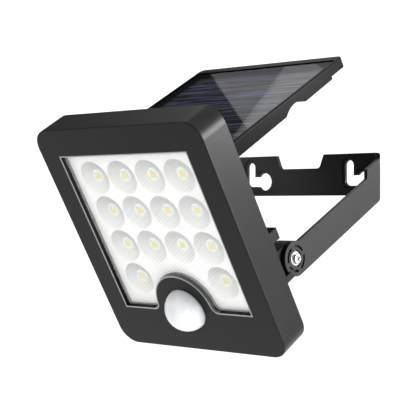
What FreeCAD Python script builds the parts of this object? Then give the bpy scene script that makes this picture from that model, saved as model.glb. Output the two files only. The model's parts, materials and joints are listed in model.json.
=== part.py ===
import FreeCAD, Part
import math
import os

# Solar flood light on a folding wall bracket. Millimetres and degrees throughout.
# The origin is the centre of the wall plate's rear face, +Y points into the wall and +Z is up.
# The lamp head is drawn in a head frame: origin on the tilt pivot, +Y to its back, +Z to its top.
# The panel is drawn in a panel frame: origin on the fold hinge, +Y away from it, +Z to the cells.

# Lamp head
HEAD_W = 140.0
HEAD_TOP = 112.2
HEAD_BOTTOM = -45.8
HEAD_CORNER = 12.2
HEAD_FRONT = -38.2
HEAD_PARTING = -24.5
HEAD_REAR = -16.6
HEAD_TILT = 30.7
SIDE_WALL = 3.0
FRONT_WALL = 2.4
REAR_WALL = 2.2
EDGE_ROUND = 0.8

# Window and the arch above the motion sensor
SIDE_BAND = 17.35
TOP_BAND = 19.4
BOTTOM_BAND = 30.3
WINDOW_DRAFT = 0.7
ARCH_LIFT = 2.0
ARCH_R = 22.6
ARCH_BEVEL = 0.5
ARCH_FILLET = 5.0
LENS_LAP = 3.0
LENS_T = 2.0
GASKET_T = 0.8
GASKET_W = 2.2
REFLECTOR_T = 2.6
REFLECTOR_RIM = 0.4
LED_BOARD_T = 1.6
LED_BOARD_LAP = 2.5

# LEDs: columns across, rows down, and the lowest row keeps only its outer columns
LED_SIDE = 16.95
LED_HEAD = 16.7
LED_FOOT = 18.55
LED_COLUMNS = 4
LED_ROWS = 4
LED_SIZE = 5.0
LED_H = 0.8
CUP_R = 11.4
CUP_SEAT_R = 4.2

# Motion sensor
SENSOR_DROP = 2.0
DOME_R = 14.2
DOME_H = 11.7
DOME_STAND = 0.7
DOME_WALL = 1.0
DOME_GAP = 0.5
DOME_FLANGE = 3.3
DOME_FLANGE_T = 1.2
SEAL_T = 1.0
HOLDER_T = 1.4
SENSOR_BOARD_T = 1.6
SENSOR_CAN_R = 4.65
SENSOR_CAN_H = 4.4
SENSOR_POST_X = 19.5
SENSOR_POST_DROP = 17.5

# Screws and posts inside the head
M3_R = 1.5
M3_HEAD_R = 3.0
M3_HEAD_H = 2.2
M3_LENGTH = 12.0
SMALL_R = 1.25
SMALL_HEAD_R = 2.5
SMALL_HEAD_H = 1.6
SMALL_LENGTH = 5.0
BOSS_R = 3.6
POST_R = 3.2
HOLE_GAP = 0.2
BOSS_INSET = 9.5
SIDE_BOSS_INSET = 7.8
SIDE_BOSS_Z = 20.0
POST_INSET = 10.5
POST_HEAD = 9.6
POST_MIDDLE = 39.6
POST_FOOT = 7.5
SEAL_GROOVE_INSET = 0.9
SEAL_GROOVE_W = 1.2
SEAL_GROOVE_D = 1.0

# Battery box on the back of the head
BATTERY_R = 9.2
BATTERY_LENGTH = 65.0
BATTERY_Y = -15.6
BATTERY_Z = 22.0
CRADLE_X = 20.0
CRADLE_W = 6.0
CRADLE_LIP = 2.8
BOX_LUG_GAP = 6.0
BOX_SHOULDER = 15.8
BOX_CORNER = 4.0
CELL_TO_BOX = 0.2
TAB_R = 6.0
TAB_T = 0.3

# Control board and mode button
BOARD_HALF_W = 44.0
BOARD_LIFT = 5.8
BOARD_H = 32.0
BOARD_T = 1.6
BOARD_STANDOFF = 5.2
BOARD_POST_X = 38.0
BOARD_POST_INSET = 4.0
BUTTON_LIFT = 16.0
BUTTON_R = 4.8
BUTTON_PROUD = 1.4
BUTTON_GAP = 0.3
BUTTON_FLANGE = 1.4
BUTTON_FLANGE_T = 1.4
BUTTON_TRAVEL = 1.0
SWITCH_SIZE = 6.0
SWITCH_H = 1.8
PLUNGER_R = 1.7
PLUNGER_H = 0.4

# Bracket: a steel strap bent into a U, with two sloping arms
ARM_INSET = 3.0
ARM_T = 2.5
BEND_R = 2.2
PLATE_HALF_H = 13.9
PIVOT_Y = -89.9
PIVOT_Z = -52.0
ARM_RISE = 28.5
DISC_R = 10.65
ARM_UPPER = 8.1
ARM_STEP = 13.4
STEP_Y = -17.7
STRAP_ROUND = 5.3
FLARE_X = 57.0
FLARE_RUN = 5.0
FLARE_DROP = 6.0
NOTCH_TOP_W = 40.8
NOTCH_FLOOR_W = 33.6
NOTCH_FLOOR_Z = 4.6
NOTCH_ROUND = 3.0
KEY_SLOT_X = -43.9
KEY_ENTRY_X = -31.6
KEY_PITCH = 85.4
KEY_W = 6.8
KEY_ENTRY_R = 6.1
KEY_Z = -4.0
KEY_SLOT_TOP = 9.5
KEY_RIM = 2.3
KEY_RIM_D = 0.6

# Tilt pivot
LUG_T = 9.6
WASHER_T = 0.8
FRICTION_R = 8.0
PIVOT_R = 2.0
PIVOT_GAP = 0.05
RECESS_R = 5.2
RECESS_D = 1.2
RING_SLOT_R = 7.4
RING_SLOT_W = 1.6
RING_SLOT_D = 2.0
RING_SLOTS = 4
RING_BRIDGE = 20.0
PIVOT_WASHER_R = 4.3
PIVOT_HEAD_R = 3.1
PIVOT_HEAD_H = 2.0
NUT_FLATS = 7.0
NUT_T = 3.2
GUARD_BOTTOM = -6.0
GUARD_SCOOP_BOTTOM = -2.0
GUARD_SCOOP_TOP = 20.7
GUARD_TOP = 27.8
GUARD_REACH = 6.8
SWING_GAP = 0.5

# Solar panel and its fold hinge
PANEL_TILT = 29.4
HINGE_Y = -7.5
HINGE_Z = 59.5
PANEL_ARM_GAP = 3.5
PANEL_NEAR = -5.5
PANEL_FAR = 118.0
PANEL_CORNER = 4.0
PANEL_T = 9.7
PANEL_COVER_T = 3.0
PANEL_TAPER = 1.2
NOTCH_DEPTH = 4.45
PANEL_LIP = 101.0
GLASS_SIDE_RIM = 2.0
GLASS_END_RIM = 6.3
GLASS_SINK = 0.6
GLASS_T = 2.8
CELL_T = 0.3
BACKING_T = 0.6
CELL_MARGIN = 1.2
CELL_GAP = 0.8
CELL_COUNT = 4
RIBBON_W = 1.6
RIBBON_T = 0.15
PANEL_SIDE_WALL = 10.0
PANEL_END_WALL = 9.0
PANEL_LIP_WALL = 4.0
NOTCH_R = 16.5
NOTCH_SIDE_GAP = 0.8
PANEL_SCREW_INSET = 7.0
PANEL_SCREW_Y = (15.0, 90.0)
HINGE_PIN_R = 1.5
HINGE_PIN_GAP = 0.05
KNUCKLE_R = 4.5
EAR_X = 32.0
EAR_W = 10.0
CHEEK_W = 5.0
CHEEK_GAP = 0.4
CHEEK_FOOT = 8.0
PIN_OVERHANG = 1.0
GROMMET_R = 3.5
GROMMET_BORE = 1.5
GROMMET_LIP = 0.8
HEAD_GROMMET_Z = 56.0
PANEL_GROMMET_Y = 12.0

WINDOW_HALF_W = HEAD_W / 2 - SIDE_BAND
WINDOW_TOP = HEAD_TOP - TOP_BAND
WINDOW_BOTTOM = HEAD_BOTTOM + BOTTOM_BAND
ARCH_CENTRE = WINDOW_BOTTOM + ARCH_LIFT
SENSOR_Z = ARCH_CENTRE - SENSOR_DROP
SENSOR_POST_Z = SENSOR_Z - SENSOR_POST_DROP
LED_PITCH_X = 2 * (WINDOW_HALF_W - LED_SIDE) / (LED_COLUMNS - 1)
LED_TOP_ROW = WINDOW_TOP - LED_HEAD
LED_PITCH_Z = (LED_TOP_ROW - WINDOW_BOTTOM - LED_FOOT) / (LED_ROWS - 1)
POST_Z = (WINDOW_TOP - POST_HEAD, WINDOW_TOP - POST_MIDDLE, WINDOW_BOTTOM + POST_FOOT)
LENS_FRONT = HEAD_FRONT + FRONT_WALL
LENS_BACK = LENS_FRONT + LENS_T
GASKET_BACK = LENS_BACK + GASKET_T
BOARD_FRONT = GASKET_BACK + REFLECTOR_T
BOARD_BACK = BOARD_FRONT + LED_BOARD_T
COVER_INSIDE = HEAD_REAR - REAR_WALL
BOX_REAR = BATTERY_Y + BATTERY_R + CELL_TO_BOX + REAR_WALL
ARM_OUT = HEAD_W / 2 - ARM_INSET
ARM_IN = ARM_OUT - ARM_T
LUG_OUT = ARM_IN - WASHER_T
LUG_IN = LUG_OUT - LUG_T
BOX_HALF_W = LUG_IN - BOX_LUG_GAP
BOX_BOTTOM = BATTERY_Z - BATTERY_R - BOX_SHOULDER
BOX_TOP = BATTERY_Z + BATTERY_R + BOX_SHOULDER
CRADLE_HALF_H = BATTERY_R + CRADLE_LIP
BOARD_BOTTOM = HEAD_BOTTOM + BOARD_LIFT
BOARD_TOP = BOARD_BOTTOM + BOARD_H
BOARD_POST_Z = (BOARD_BOTTOM + BOARD_POST_INSET, BOARD_TOP - BOARD_POST_INSET)
BUTTON_Z = BOARD_BOTTOM + BUTTON_LIFT
CONTROL_BACK = COVER_INSIDE - BOARD_STANDOFF
CONTROL_FRONT = CONTROL_BACK - BOARD_T
SENSOR_BOARD_FRONT = LENS_FRONT + DOME_FLANGE_T + SEAL_T + HOLDER_T
PANEL_W = 2 * (ARM_IN - PANEL_ARM_GAP)
PANEL_SCREW_X = PANEL_W / 2 - PANEL_SCREW_INSET
PANEL_LOW_NEAR = DISC_R + SWING_GAP - HINGE_Y - NOTCH_DEPTH
PANEL_LOW_FAR = PANEL_LOW_NEAR + PANEL_TAPER
PANEL_PARTING = PANEL_LOW_NEAR + PANEL_COVER_T
PANEL_TOP = PANEL_LOW_NEAR + PANEL_T
GLASS_TOP = PANEL_TOP - GLASS_SINK
CELL_TOP = GLASS_TOP - GLASS_T
BACKING_TOP = CELL_TOP - CELL_T
BACKING_LOW = BACKING_TOP - BACKING_T


def vec(x, y, z):
    return FreeCAD.Vector(x, y, z)


def block(x0, x1, y0, y1, z0, z1):
    return Part.makeBox(x1 - x0, y1 - y0, z1 - z0, vec(x0, y0, z0))


def rod_x(radius, x0, x1, y=0.0, z=0.0):
    return Part.makeCylinder(radius, x1 - x0, vec(x0, y, z), vec(1, 0, 0))


def rod_y(radius, y0, y1, x=0.0, z=0.0):
    return Part.makeCylinder(radius, y1 - y0, vec(x, y0, z), vec(0, 1, 0))


def rod_z(radius, z0, z1, x=0.0, y=0.0):
    return Part.makeCylinder(radius, z1 - z0, vec(x, y, z0), vec(0, 0, 1))


def polygon(points):
    return Part.Face(Part.makePolygon(points + [points[0]]))


def mirrored(shape):
    return shape.mirror(vec(0, 0, 0), vec(1, 0, 0))


def both_sides(shape):
    return [shape, mirrored(shape)]


def fused(shapes):
    result = shapes[0]
    if len(shapes) > 1:
        result = shapes[0].multiFuse(shapes[1:])
    return result.removeSplitter()


def rounded_slab(x0, x1, y0, y1, corner, z0, z1):
    """A slab with four round upright edges."""
    slab = block(x0, x1, y0, y1, z0, z1)
    upright = [e for e in slab.Edges if abs(e.Vertexes[0].Z - e.Vertexes[1].Z) > (z1 - z0) / 2]
    return slab.makeFillet(corner, upright)


def rounded_wall(x0, x1, z0, z1, corner, y0, y1):
    """The same slab standing up, with its thickness along Y."""
    slab = rounded_slab(x0, x1, z0, z1, corner, -y1, -y0)
    slab.rotate(vec(0, 0, 0), vec(1, 0, 0), 90)
    return slab


def head_shell(inset, y0, y1):
    half = HEAD_W / 2 - inset
    return rounded_wall(-half, half, HEAD_BOTTOM + inset, HEAD_TOP - inset, HEAD_CORNER - inset, y0, y1)


def window_wire(y, grow, arch_r):
    """The window's outline: a rectangle whose lower side rises over the sensor in an arch."""
    half = WINDOW_HALF_W + grow
    low = WINDOW_BOTTOM - grow
    high = WINDOW_TOP + grow
    fillet = ARCH_FILLET - grow
    rise = low + fillet - ARCH_CENTRE
    reach = math.sqrt((arch_r + fillet) ** 2 - rise ** 2)
    share = arch_r / (arch_r + fillet)
    joint = vec(reach * share, y, ARCH_CENTRE + rise * share)
    foot = vec(reach, y, low)
    turn = math.atan2(joint.z - low - fillet, joint.x - reach)
    middle_angle = (turn - math.pi / 2) / 2
    middle_angle = middle_angle if turn < 0 else middle_angle - math.pi
    bend = vec(reach + fillet * math.cos(middle_angle), y, low + fillet + fillet * math.sin(middle_angle))
    crown = vec(0, y, ARCH_CENTRE + arch_r)

    def flip(point):
        return vec(-point.x, y, point.z)

    corner = vec(half, y, low)
    top = vec(half, y, high)
    edges = [
        Part.LineSegment(flip(corner), flip(foot)).toShape(),
        Part.Arc(flip(foot), flip(bend), flip(joint)).toShape(),
        Part.Arc(flip(joint), crown, joint).toShape(),
        Part.Arc(joint, bend, foot).toShape(),
        Part.LineSegment(foot, corner).toShape(),
        Part.LineSegment(corner, top).toShape(),
        Part.LineSegment(top, flip(top)).toShape(),
        Part.LineSegment(flip(top), flip(corner)).toShape(),
    ]
    return Part.Wire(edges)


def window_plate(grow, y0, y1):
    wire = window_wire(y0, grow, ARCH_R + ARCH_BEVEL - grow)
    return Part.Face(wire).extrude(vec(0, y1 - y0, 0))


def cover_screw_places():
    side = HEAD_W / 2 - BOSS_INSET
    far_side = HEAD_W / 2 - SIDE_BOSS_INSET
    right = [(side, HEAD_TOP - BOSS_INSET), (side, HEAD_BOTTOM + BOSS_INSET), (far_side, SIDE_BOSS_Z)]
    return right + [(-x, z) for x, z in right]


def led_screw_places():
    side = HEAD_W / 2 - POST_INSET
    return [(sign * side, z) for sign in (1, -1) for z in POST_Z]


def control_screw_places():
    return [(sign * BOARD_POST_X, z) for sign in (1, -1) for z in BOARD_POST_Z]


def sensor_screw_places():
    return [(sign * SENSOR_POST_X, SENSOR_POST_Z) for sign in (1, -1)]


def led_places():
    places = []
    for row in range(LED_ROWS):
        for column in range(LED_COLUMNS):
            inner = 0 < column < LED_COLUMNS - 1
            if row == LED_ROWS - 1 and inner:
                continue
            x = (column - (LED_COLUMNS - 1) / 2) * LED_PITCH_X
            places.append((x, LED_TOP_ROW - row * LED_PITCH_Z))
    return places


def make_front_housing():
    shell = head_shell(0, HEAD_FRONT, HEAD_PARTING)
    front_edges = [e for e in shell.Edges if all(abs(v.Y - HEAD_FRONT) < 0.01 for v in e.Vertexes)]
    shell = shell.makeFillet(EDGE_ROUND, front_edges)
    shell = shell.cut(head_shell(SIDE_WALL, LENS_FRONT, HEAD_PARTING + 1))
    outer = window_wire(HEAD_FRONT, WINDOW_DRAFT, ARCH_R)
    inner = window_wire(LENS_FRONT, 0, ARCH_R + ARCH_BEVEL)
    opening = Part.makeLoft([outer, inner], True, True)
    eye = rod_y(DOME_R + DOME_GAP, HEAD_FRONT - 1, LENS_FRONT + 1, 0, SENSOR_Z)
    groove = Part.makeCone(DOME_R + 2 * DOME_GAP, DOME_R + DOME_GAP, DOME_GAP,
                           vec(0, HEAD_FRONT, SENSOR_Z), vec(0, 1, 0))
    posts = []
    pilots = []
    for x, z in cover_screw_places():
        posts.append(rod_y(BOSS_R, LENS_FRONT, HEAD_PARTING, x, z))
        pilots.append(rod_y(M3_R, HEAD_REAR - M3_HEAD_H - M3_LENGTH - 1, HEAD_PARTING + 1, x, z))
    for x, z in led_screw_places():
        posts.append(rod_y(POST_R, LENS_FRONT, BOARD_FRONT, x, z))
        pilots.append(rod_y(SMALL_R, BOARD_BACK - SMALL_LENGTH, BOARD_FRONT + 1, x, z))
    for x, z in sensor_screw_places():
        posts.append(rod_y(POST_R, LENS_FRONT, SENSOR_BOARD_FRONT, x, z))
        pilots.append(rod_y(SMALL_R, LENS_FRONT + 0.4, SENSOR_BOARD_FRONT + 1, x, z))
    seal_groove = make_housing_gasket()
    shell = fused([shell] + posts)
    for tool in [opening, eye, groove, seal_groove] + pilots:
        shell = shell.cut(tool)
    return shell


def make_housing_gasket():
    start = HEAD_PARTING - SEAL_GROOVE_D
    outer = head_shell(SEAL_GROOVE_INSET, start, HEAD_PARTING)
    return outer.cut(head_shell(SEAL_GROOVE_INSET + SEAL_GROOVE_W, start - 1, HEAD_PARTING + 1))


def make_window_lens():
    return window_plate(LENS_LAP, LENS_FRONT, LENS_BACK)


def make_lens_gasket():
    outer = window_plate(LENS_LAP, LENS_BACK, GASKET_BACK)
    return outer.cut(window_plate(LENS_LAP - GASKET_W, LENS_BACK - 1, GASKET_BACK + 1))


def make_reflector():
    plate = window_plate(LENS_LAP, GASKET_BACK, BOARD_FRONT)
    raised = window_plate(LENS_LAP - GASKET_W - 0.5, GASKET_BACK - REFLECTOR_RIM, GASKET_BACK)
    plate = fused([plate, raised])
    depth = REFLECTOR_T + REFLECTOR_RIM
    for x, z in led_places():
        cup = Part.makeCone(CUP_R, CUP_SEAT_R, depth, vec(x, BOARD_FRONT - depth, z), vec(0, 1, 0))
        plate = plate.cut(cup)
    return plate


def make_led_board():
    board = window_plate(LED_BOARD_LAP, BOARD_FRONT, BOARD_BACK)
    ears = []
    for x, z in led_screw_places():
        ears.append(rod_y(POST_R, BOARD_FRONT, BOARD_BACK, x, z))
        inner = math.copysign(WINDOW_HALF_W, x)
        ears.append(block(min(x, inner), max(x, inner), BOARD_FRONT, BOARD_BACK, z - POST_R, z + POST_R))
    board = fused([board] + ears)
    for x, z in led_screw_places():
        board = board.cut(rod_y(SMALL_R + HOLE_GAP, BOARD_FRONT - 1, BOARD_BACK + 1, x, z))
    return board


def make_led_chips():
    half = LED_SIZE / 2
    chips = [block(x - half, x + half, BOARD_FRONT - LED_H, BOARD_FRONT, z - half, z + half)
             for x, z in led_places()]
    return Part.makeCompound(chips)


def dome_solid(inset):
    """The dome's outer or inner form: a ball cap on a short neck."""
    cap_r = (DOME_R ** 2 + DOME_H ** 2) / (2 * DOME_H)
    foot = HEAD_FRONT - DOME_STAND
    centre = foot - DOME_H + cap_r
    ball = Part.makeSphere(cap_r - inset, vec(0, centre, SENSOR_Z))
    cap = ball.common(rod_y(2 * cap_r, centre - 2 * cap_r, foot, 0, SENSOR_Z))
    neck = rod_y(DOME_R - inset, foot, LENS_FRONT + DOME_FLANGE_T, 0, SENSOR_Z)
    return fused([cap, neck])


def make_sensor_dome():
    flange = rod_y(DOME_R + DOME_FLANGE, LENS_FRONT, LENS_FRONT + DOME_FLANGE_T, 0, SENSOR_Z)
    return fused([dome_solid(0), flange]).cut(dome_solid(DOME_WALL))


def sensor_ring(y0, y1):
    ring = rod_y(DOME_R + DOME_FLANGE, y0, y1, 0, SENSOR_Z)
    return ring.cut(rod_y(DOME_R + DOME_GAP, y0 - 1, y1 + 1, 0, SENSOR_Z))


def make_dome_seal():
    start = LENS_FRONT + DOME_FLANGE_T
    return sensor_ring(start, start + SEAL_T)


def make_sensor_holder():
    return sensor_ring(SENSOR_BOARD_FRONT - HOLDER_T, SENSOR_BOARD_FRONT)


def make_sensor_board():
    back = SENSOR_BOARD_FRONT + SENSOR_BOARD_T
    disc = rod_y(DOME_R + DOME_FLANGE, SENSOR_BOARD_FRONT, back, 0, SENSOR_Z)
    half = SENSOR_POST_X + POST_R
    bar = block(-half, half, SENSOR_BOARD_FRONT, back, SENSOR_POST_Z - POST_R, SENSOR_POST_Z + POST_R)
    board = fused([disc, bar])
    for x, z in sensor_screw_places():
        board = board.cut(rod_y(SMALL_R + HOLE_GAP, SENSOR_BOARD_FRONT - 1, back + 1, x, z))
    return board


def make_motion_sensor():
    flange = rod_y(SENSOR_CAN_R, SENSOR_BOARD_FRONT - 0.5, SENSOR_BOARD_FRONT, 0, SENSOR_Z)
    can = rod_y(SENSOR_CAN_R - 0.4, SENSOR_BOARD_FRONT - SENSOR_CAN_H, SENSOR_BOARD_FRONT, 0, SENSOR_Z)
    return fused([flange, can])


def small_screw(x, z, seat, length):
    """A small screw whose head stands on the plane y = seat and whose shank runs to the front."""
    head = rod_y(SMALL_HEAD_R, seat, seat + SMALL_HEAD_H, x, z)
    shank = rod_y(SMALL_R, seat - length, seat, x, z)
    return fused([head, shank])


def make_board_screws():
    back = SENSOR_BOARD_FRONT + SENSOR_BOARD_T
    screws = [small_screw(x, z, BOARD_BACK, SMALL_LENGTH) for x, z in led_screw_places()]
    screws += [small_screw(x, z, back, back - LENS_FRONT - 0.4) for x, z in sensor_screw_places()]
    for x, z in control_screw_places():
        head = rod_y(SMALL_HEAD_R, CONTROL_FRONT - SMALL_HEAD_H, CONTROL_FRONT, x, z)
        shank = rod_y(SMALL_R, CONTROL_FRONT, CONTROL_FRONT + SMALL_LENGTH, x, z)
        screws.append(fused([head, shank]))
    return Part.makeCompound(screws)


def make_cover_screws():
    screws = []
    seat = HEAD_REAR - M3_HEAD_H
    for x, z in cover_screw_places():
        head = rod_y(M3_HEAD_R, seat, HEAD_REAR, x, z)
        slot = block(x - 2, x + 2, HEAD_REAR - 1, HEAD_REAR + 1, z - 0.35, z + 0.35)
        cross = block(x - 0.35, x + 0.35, HEAD_REAR - 1, HEAD_REAR + 1, z - 2, z + 2)
        shank = rod_y(M3_R, seat - M3_LENGTH, seat, x, z)
        screws.append(fused([head, shank]).cut(slot).cut(cross))
    return Part.makeCompound(screws)


def guard():
    """The guard beside the right arm: two cheeks on the cover's edge with a scoop between them."""
    out = HEAD_W / 2
    reach = HEAD_REAR + GUARD_REACH
    body = block(LUG_IN, out, COVER_INSIDE, reach, GUARD_BOTTOM, GUARD_TOP)
    scoop = block(LUG_OUT, out + 1, HEAD_REAR, reach + 1, GUARD_SCOOP_BOTTOM, GUARD_SCOOP_TOP)
    swing = rod_x(DISC_R + SWING_GAP, LUG_OUT, out + 1)
    return body.cut(scoop).cut(swing)


def lug():
    """The round boss that the arm is clamped to, with a pocket for the nut at its inner end."""
    barrel = rod_x(DISC_R, LUG_IN, LUG_OUT)
    web = block(LUG_IN, LUG_OUT, COVER_INSIDE, 0, -DISC_R, DISC_R)
    return fused([barrel, web])


def nut_blank(x0, x1):
    corner = NUT_FLATS / math.sqrt(3)
    points = [vec(x0, corner * math.cos(math.radians(60 * i)), corner * math.sin(math.radians(60 * i)))
              for i in range(6)]
    return polygon(points).extrude(vec(x1 - x0, 0, 0))


def hinge_ear():
    """A knuckle on the cover's back that the panel folds about."""
    half = EAR_W / 2
    barrel = rod_x(KNUCKLE_R, EAR_X - half, EAR_X + half, HINGE_Y, HINGE_Z)
    web = block(EAR_X - half, EAR_X + half, COVER_INSIDE, HINGE_Y, HINGE_Z - KNUCKLE_R, HINGE_Z + KNUCKLE_R)
    bore = rod_x(HINGE_PIN_R + HINGE_PIN_GAP, EAR_X - half - 1, EAR_X + half + 1, HINGE_Y, HINGE_Z)
    return fused([barrel, web]).cut(bore)


def make_rear_cover():
    shell = head_shell(0, HEAD_PARTING, HEAD_REAR)
    rear_edges = [e for e in shell.Edges if all(abs(v.Y - HEAD_REAR) < 0.01 for v in e.Vertexes)]
    shell = shell.makeFillet(EDGE_ROUND, rear_edges)
    shell = shell.cut(head_shell(SIDE_WALL, HEAD_PARTING - 1, COVER_INSIDE))
    box_out = rounded_wall(-BOX_HALF_W, BOX_HALF_W, BOX_BOTTOM, BOX_TOP, BOX_CORNER, COVER_INSIDE, BOX_REAR)
    half = BOX_HALF_W - REAR_WALL
    box_in = rounded_wall(-half, half, BOX_BOTTOM + REAR_WALL, BOX_TOP - REAR_WALL,
                          BOX_CORNER - REAR_WALL, HEAD_PARTING, BOX_REAR - REAR_WALL)
    solids = [shell, box_out] + both_sides(lug()) + both_sides(guard()) + both_sides(hinge_ear())
    tools = [box_in] + both_sides(rod_x(PIVOT_R, LUG_IN - 1, LUG_OUT + 1))
    tools += both_sides(nut_blank(LUG_IN - 1, LUG_IN + NUT_T))
    for x, z in cover_screw_places():
        solids.append(rod_y(BOSS_R, HEAD_PARTING, COVER_INSIDE + 0.1, x, z))
        tools.append(rod_y(M3_HEAD_R + HOLE_GAP, HEAD_REAR - M3_HEAD_H, HEAD_REAR + 1, x, z))
        tools.append(rod_y(M3_R + HOLE_GAP, HEAD_PARTING - 1, HEAD_REAR + 1, x, z))
    for x, z in control_screw_places():
        solids.append(rod_y(POST_R, CONTROL_BACK, COVER_INSIDE + 0.1, x, z))
        tools.append(rod_y(SMALL_R, CONTROL_BACK - 1, CONTROL_FRONT + SMALL_LENGTH, x, z))
    tools.append(rod_y(BUTTON_R + BUTTON_GAP, COVER_INSIDE - 1, HEAD_REAR + 1, 0, BUTTON_Z))
    tools.append(rod_y(GROMMET_R, COVER_INSIDE - 1, HEAD_REAR + 1, 0, HEAD_GROMMET_Z))
    cover = fused(solids)
    for tool in tools:
        cover = cover.cut(tool)
    return cover


def make_battery_cell():
    half = BATTERY_LENGTH / 2
    return rod_x(BATTERY_R, -half, half, BATTERY_Y, BATTERY_Z)


def make_battery_cradle():
    floor = BOX_REAR - REAR_WALL
    saddle = block(CRADLE_X - CRADLE_W / 2, CRADLE_X + CRADLE_W / 2, BATTERY_Y, floor,
                   BATTERY_Z - CRADLE_HALF_H, BATTERY_Z + CRADLE_HALF_H)
    saddle = saddle.cut(make_battery_cell())
    return Part.makeCompound(both_sides(saddle))


def make_battery_tabs():
    half = BATTERY_LENGTH / 2
    tab = rod_x(TAB_R, half, half + TAB_T, BATTERY_Y, BATTERY_Z)
    return Part.makeCompound(both_sides(tab))


def make_control_board():
    board = block(-BOARD_HALF_W, BOARD_HALF_W, CONTROL_FRONT, CONTROL_BACK, BOARD_BOTTOM, BOARD_TOP)
    for x, z in control_screw_places():
        board = board.cut(rod_y(SMALL_R + HOLE_GAP, CONTROL_FRONT - 1, CONTROL_BACK + 1, x, z))
    return board


def make_board_parts():
    """The charge controller, driver, inductor and plug on the control board's front."""
    def part(x, lift, width, height, rise):
        z = BOARD_BOTTOM + lift
        return block(x - width / 2, x + width / 2, CONTROL_FRONT - rise, CONTROL_FRONT,
                     z - height / 2, z + height / 2)

    chips = [part(-22, 18, 5, 4, 1.5), part(-8, 20, 8, 6, 1.6), part(8, 9, 4, 4, 1.2)]
    plug = part(28, 16, 8, 5, 2.0)
    coil = rod_y(3.0, CONTROL_FRONT - 2.0, CONTROL_FRONT, 16, BOARD_BOTTOM + 21)
    return Part.makeCompound(chips + [plug, coil])


def make_mode_switch():
    half = SWITCH_SIZE / 2
    body = block(-half, half, CONTROL_BACK, CONTROL_BACK + SWITCH_H, BUTTON_Z - half, BUTTON_Z + half)
    top = CONTROL_BACK + SWITCH_H
    return fused([body, rod_y(PLUNGER_R, top, top + PLUNGER_H, 0, BUTTON_Z)])


def make_mode_button():
    cap = rod_y(BUTTON_R, COVER_INSIDE, HEAD_REAR + BUTTON_PROUD, 0, BUTTON_Z)
    rim = [e for e in cap.Edges if all(abs(v.Y - HEAD_REAR - BUTTON_PROUD) < 0.01 for v in e.Vertexes)]
    cap = cap.makeFillet(EDGE_ROUND, rim)
    flange = rod_y(BUTTON_R + BUTTON_FLANGE, COVER_INSIDE - BUTTON_FLANGE_T, COVER_INSIDE, 0, BUTTON_Z)
    plunger_top = CONTROL_BACK + SWITCH_H + PLUNGER_H
    stem = rod_y(PLUNGER_R, plunger_top + BUTTON_TRAVEL + 0.1, COVER_INSIDE, 0, BUTTON_Z)
    return fused([cap, flange, stem])


def grommet(y0, y1, z):
    """A rubber bush through a wall, with a lip on each side."""
    bush = rod_y(GROMMET_R, y0, y1, 0, z)
    lips = [rod_y(GROMMET_R + GROMMET_LIP, y0 - GROMMET_LIP, y0, 0, z),
            rod_y(GROMMET_R + GROMMET_LIP, y1, y1 + GROMMET_LIP, 0, z)]
    return fused([bush] + lips).cut(rod_y(GROMMET_BORE, y0 - 2, y1 + 2, 0, z))


def make_head_grommet():
    return grommet(COVER_INSIDE, HEAD_REAR, HEAD_GROMMET_Z)


def make_pivot_screws():
    seat = ARM_OUT - RECESS_D + WASHER_T + PIVOT_GAP
    head = rod_x(PIVOT_HEAD_R, seat, seat + PIVOT_HEAD_H)
    crown = [e for e in head.Edges if all(abs(v.X - seat - PIVOT_HEAD_H) < 0.01 for v in e.Vertexes)]
    head = head.makeFillet(EDGE_ROUND, crown)
    top = seat + PIVOT_HEAD_H
    head = head.cut(block(top - 1.1, top + 1, -1.9, 1.9, -0.4, 0.4))
    head = head.cut(block(top - 1.1, top + 1, -0.4, 0.4, -1.9, 1.9))
    shank = rod_x(PIVOT_R, LUG_IN, seat)
    return Part.makeCompound(both_sides(fused([head, shank])))


def make_pivot_washers():
    seat = ARM_OUT - RECESS_D + PIVOT_GAP
    washer = rod_x(PIVOT_WASHER_R, seat, seat + WASHER_T).cut(rod_x(PIVOT_R, seat - 1, seat + 2))
    return Part.makeCompound(both_sides(washer))


def make_friction_washers():
    washer = rod_x(FRICTION_R, LUG_OUT, ARM_IN - PIVOT_GAP).cut(rod_x(PIVOT_R, LUG_OUT - 1, ARM_IN + 1))
    return Part.makeCompound(both_sides(washer))


def make_pivot_nuts():
    nut = nut_blank(LUG_IN, LUG_IN + NUT_T).cut(rod_x(PIVOT_R, LUG_IN - 1, LUG_OUT))
    return Part.makeCompound(both_sides(nut))


def arm_point(along, across):
    """A point of the arm's side view, from the pivot: along the arm and square to it."""
    rise = math.radians(ARM_RISE)
    y = PIVOT_Y + along * math.cos(rise) - across * math.sin(rise)
    z = PIVOT_Z + along * math.sin(rise) + across * math.cos(rise)
    return y, z


def arm_height(y, across):
    """The height at which a line parallel to the arm crosses the upright plane y."""
    rise = math.radians(ARM_RISE)
    return PIVOT_Z + (across + (y - PIVOT_Y) * math.sin(rise)) / math.cos(rise)


def bracket_side(x0, x1):
    """The strap's side view: the disc, the sloping arm with its step, and the plate's end."""
    front = -ARM_T - BEND_R
    outline = [
        arm_point(0, -DISC_R),
        (front, arm_height(front, -DISC_R)),
        (0, -PLATE_HALF_H),
        (0, PLATE_HALF_H),
        (-ARM_T, PLATE_HALF_H),
        (-ARM_T - 1, arm_height(-ARM_T - 1, ARM_STEP)),
        (STEP_Y, arm_height(STEP_Y, ARM_STEP)),
        (STEP_Y, arm_height(STEP_Y, ARM_UPPER)),
        arm_point(0, ARM_UPPER),
    ]
    side = polygon([vec(x0, y, z) for y, z in outline]).extrude(vec(x1 - x0, 0, 0))
    return fused([side, rod_x(DISC_R, x0, x1, PIVOT_Y, PIVOT_Z)])


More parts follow.
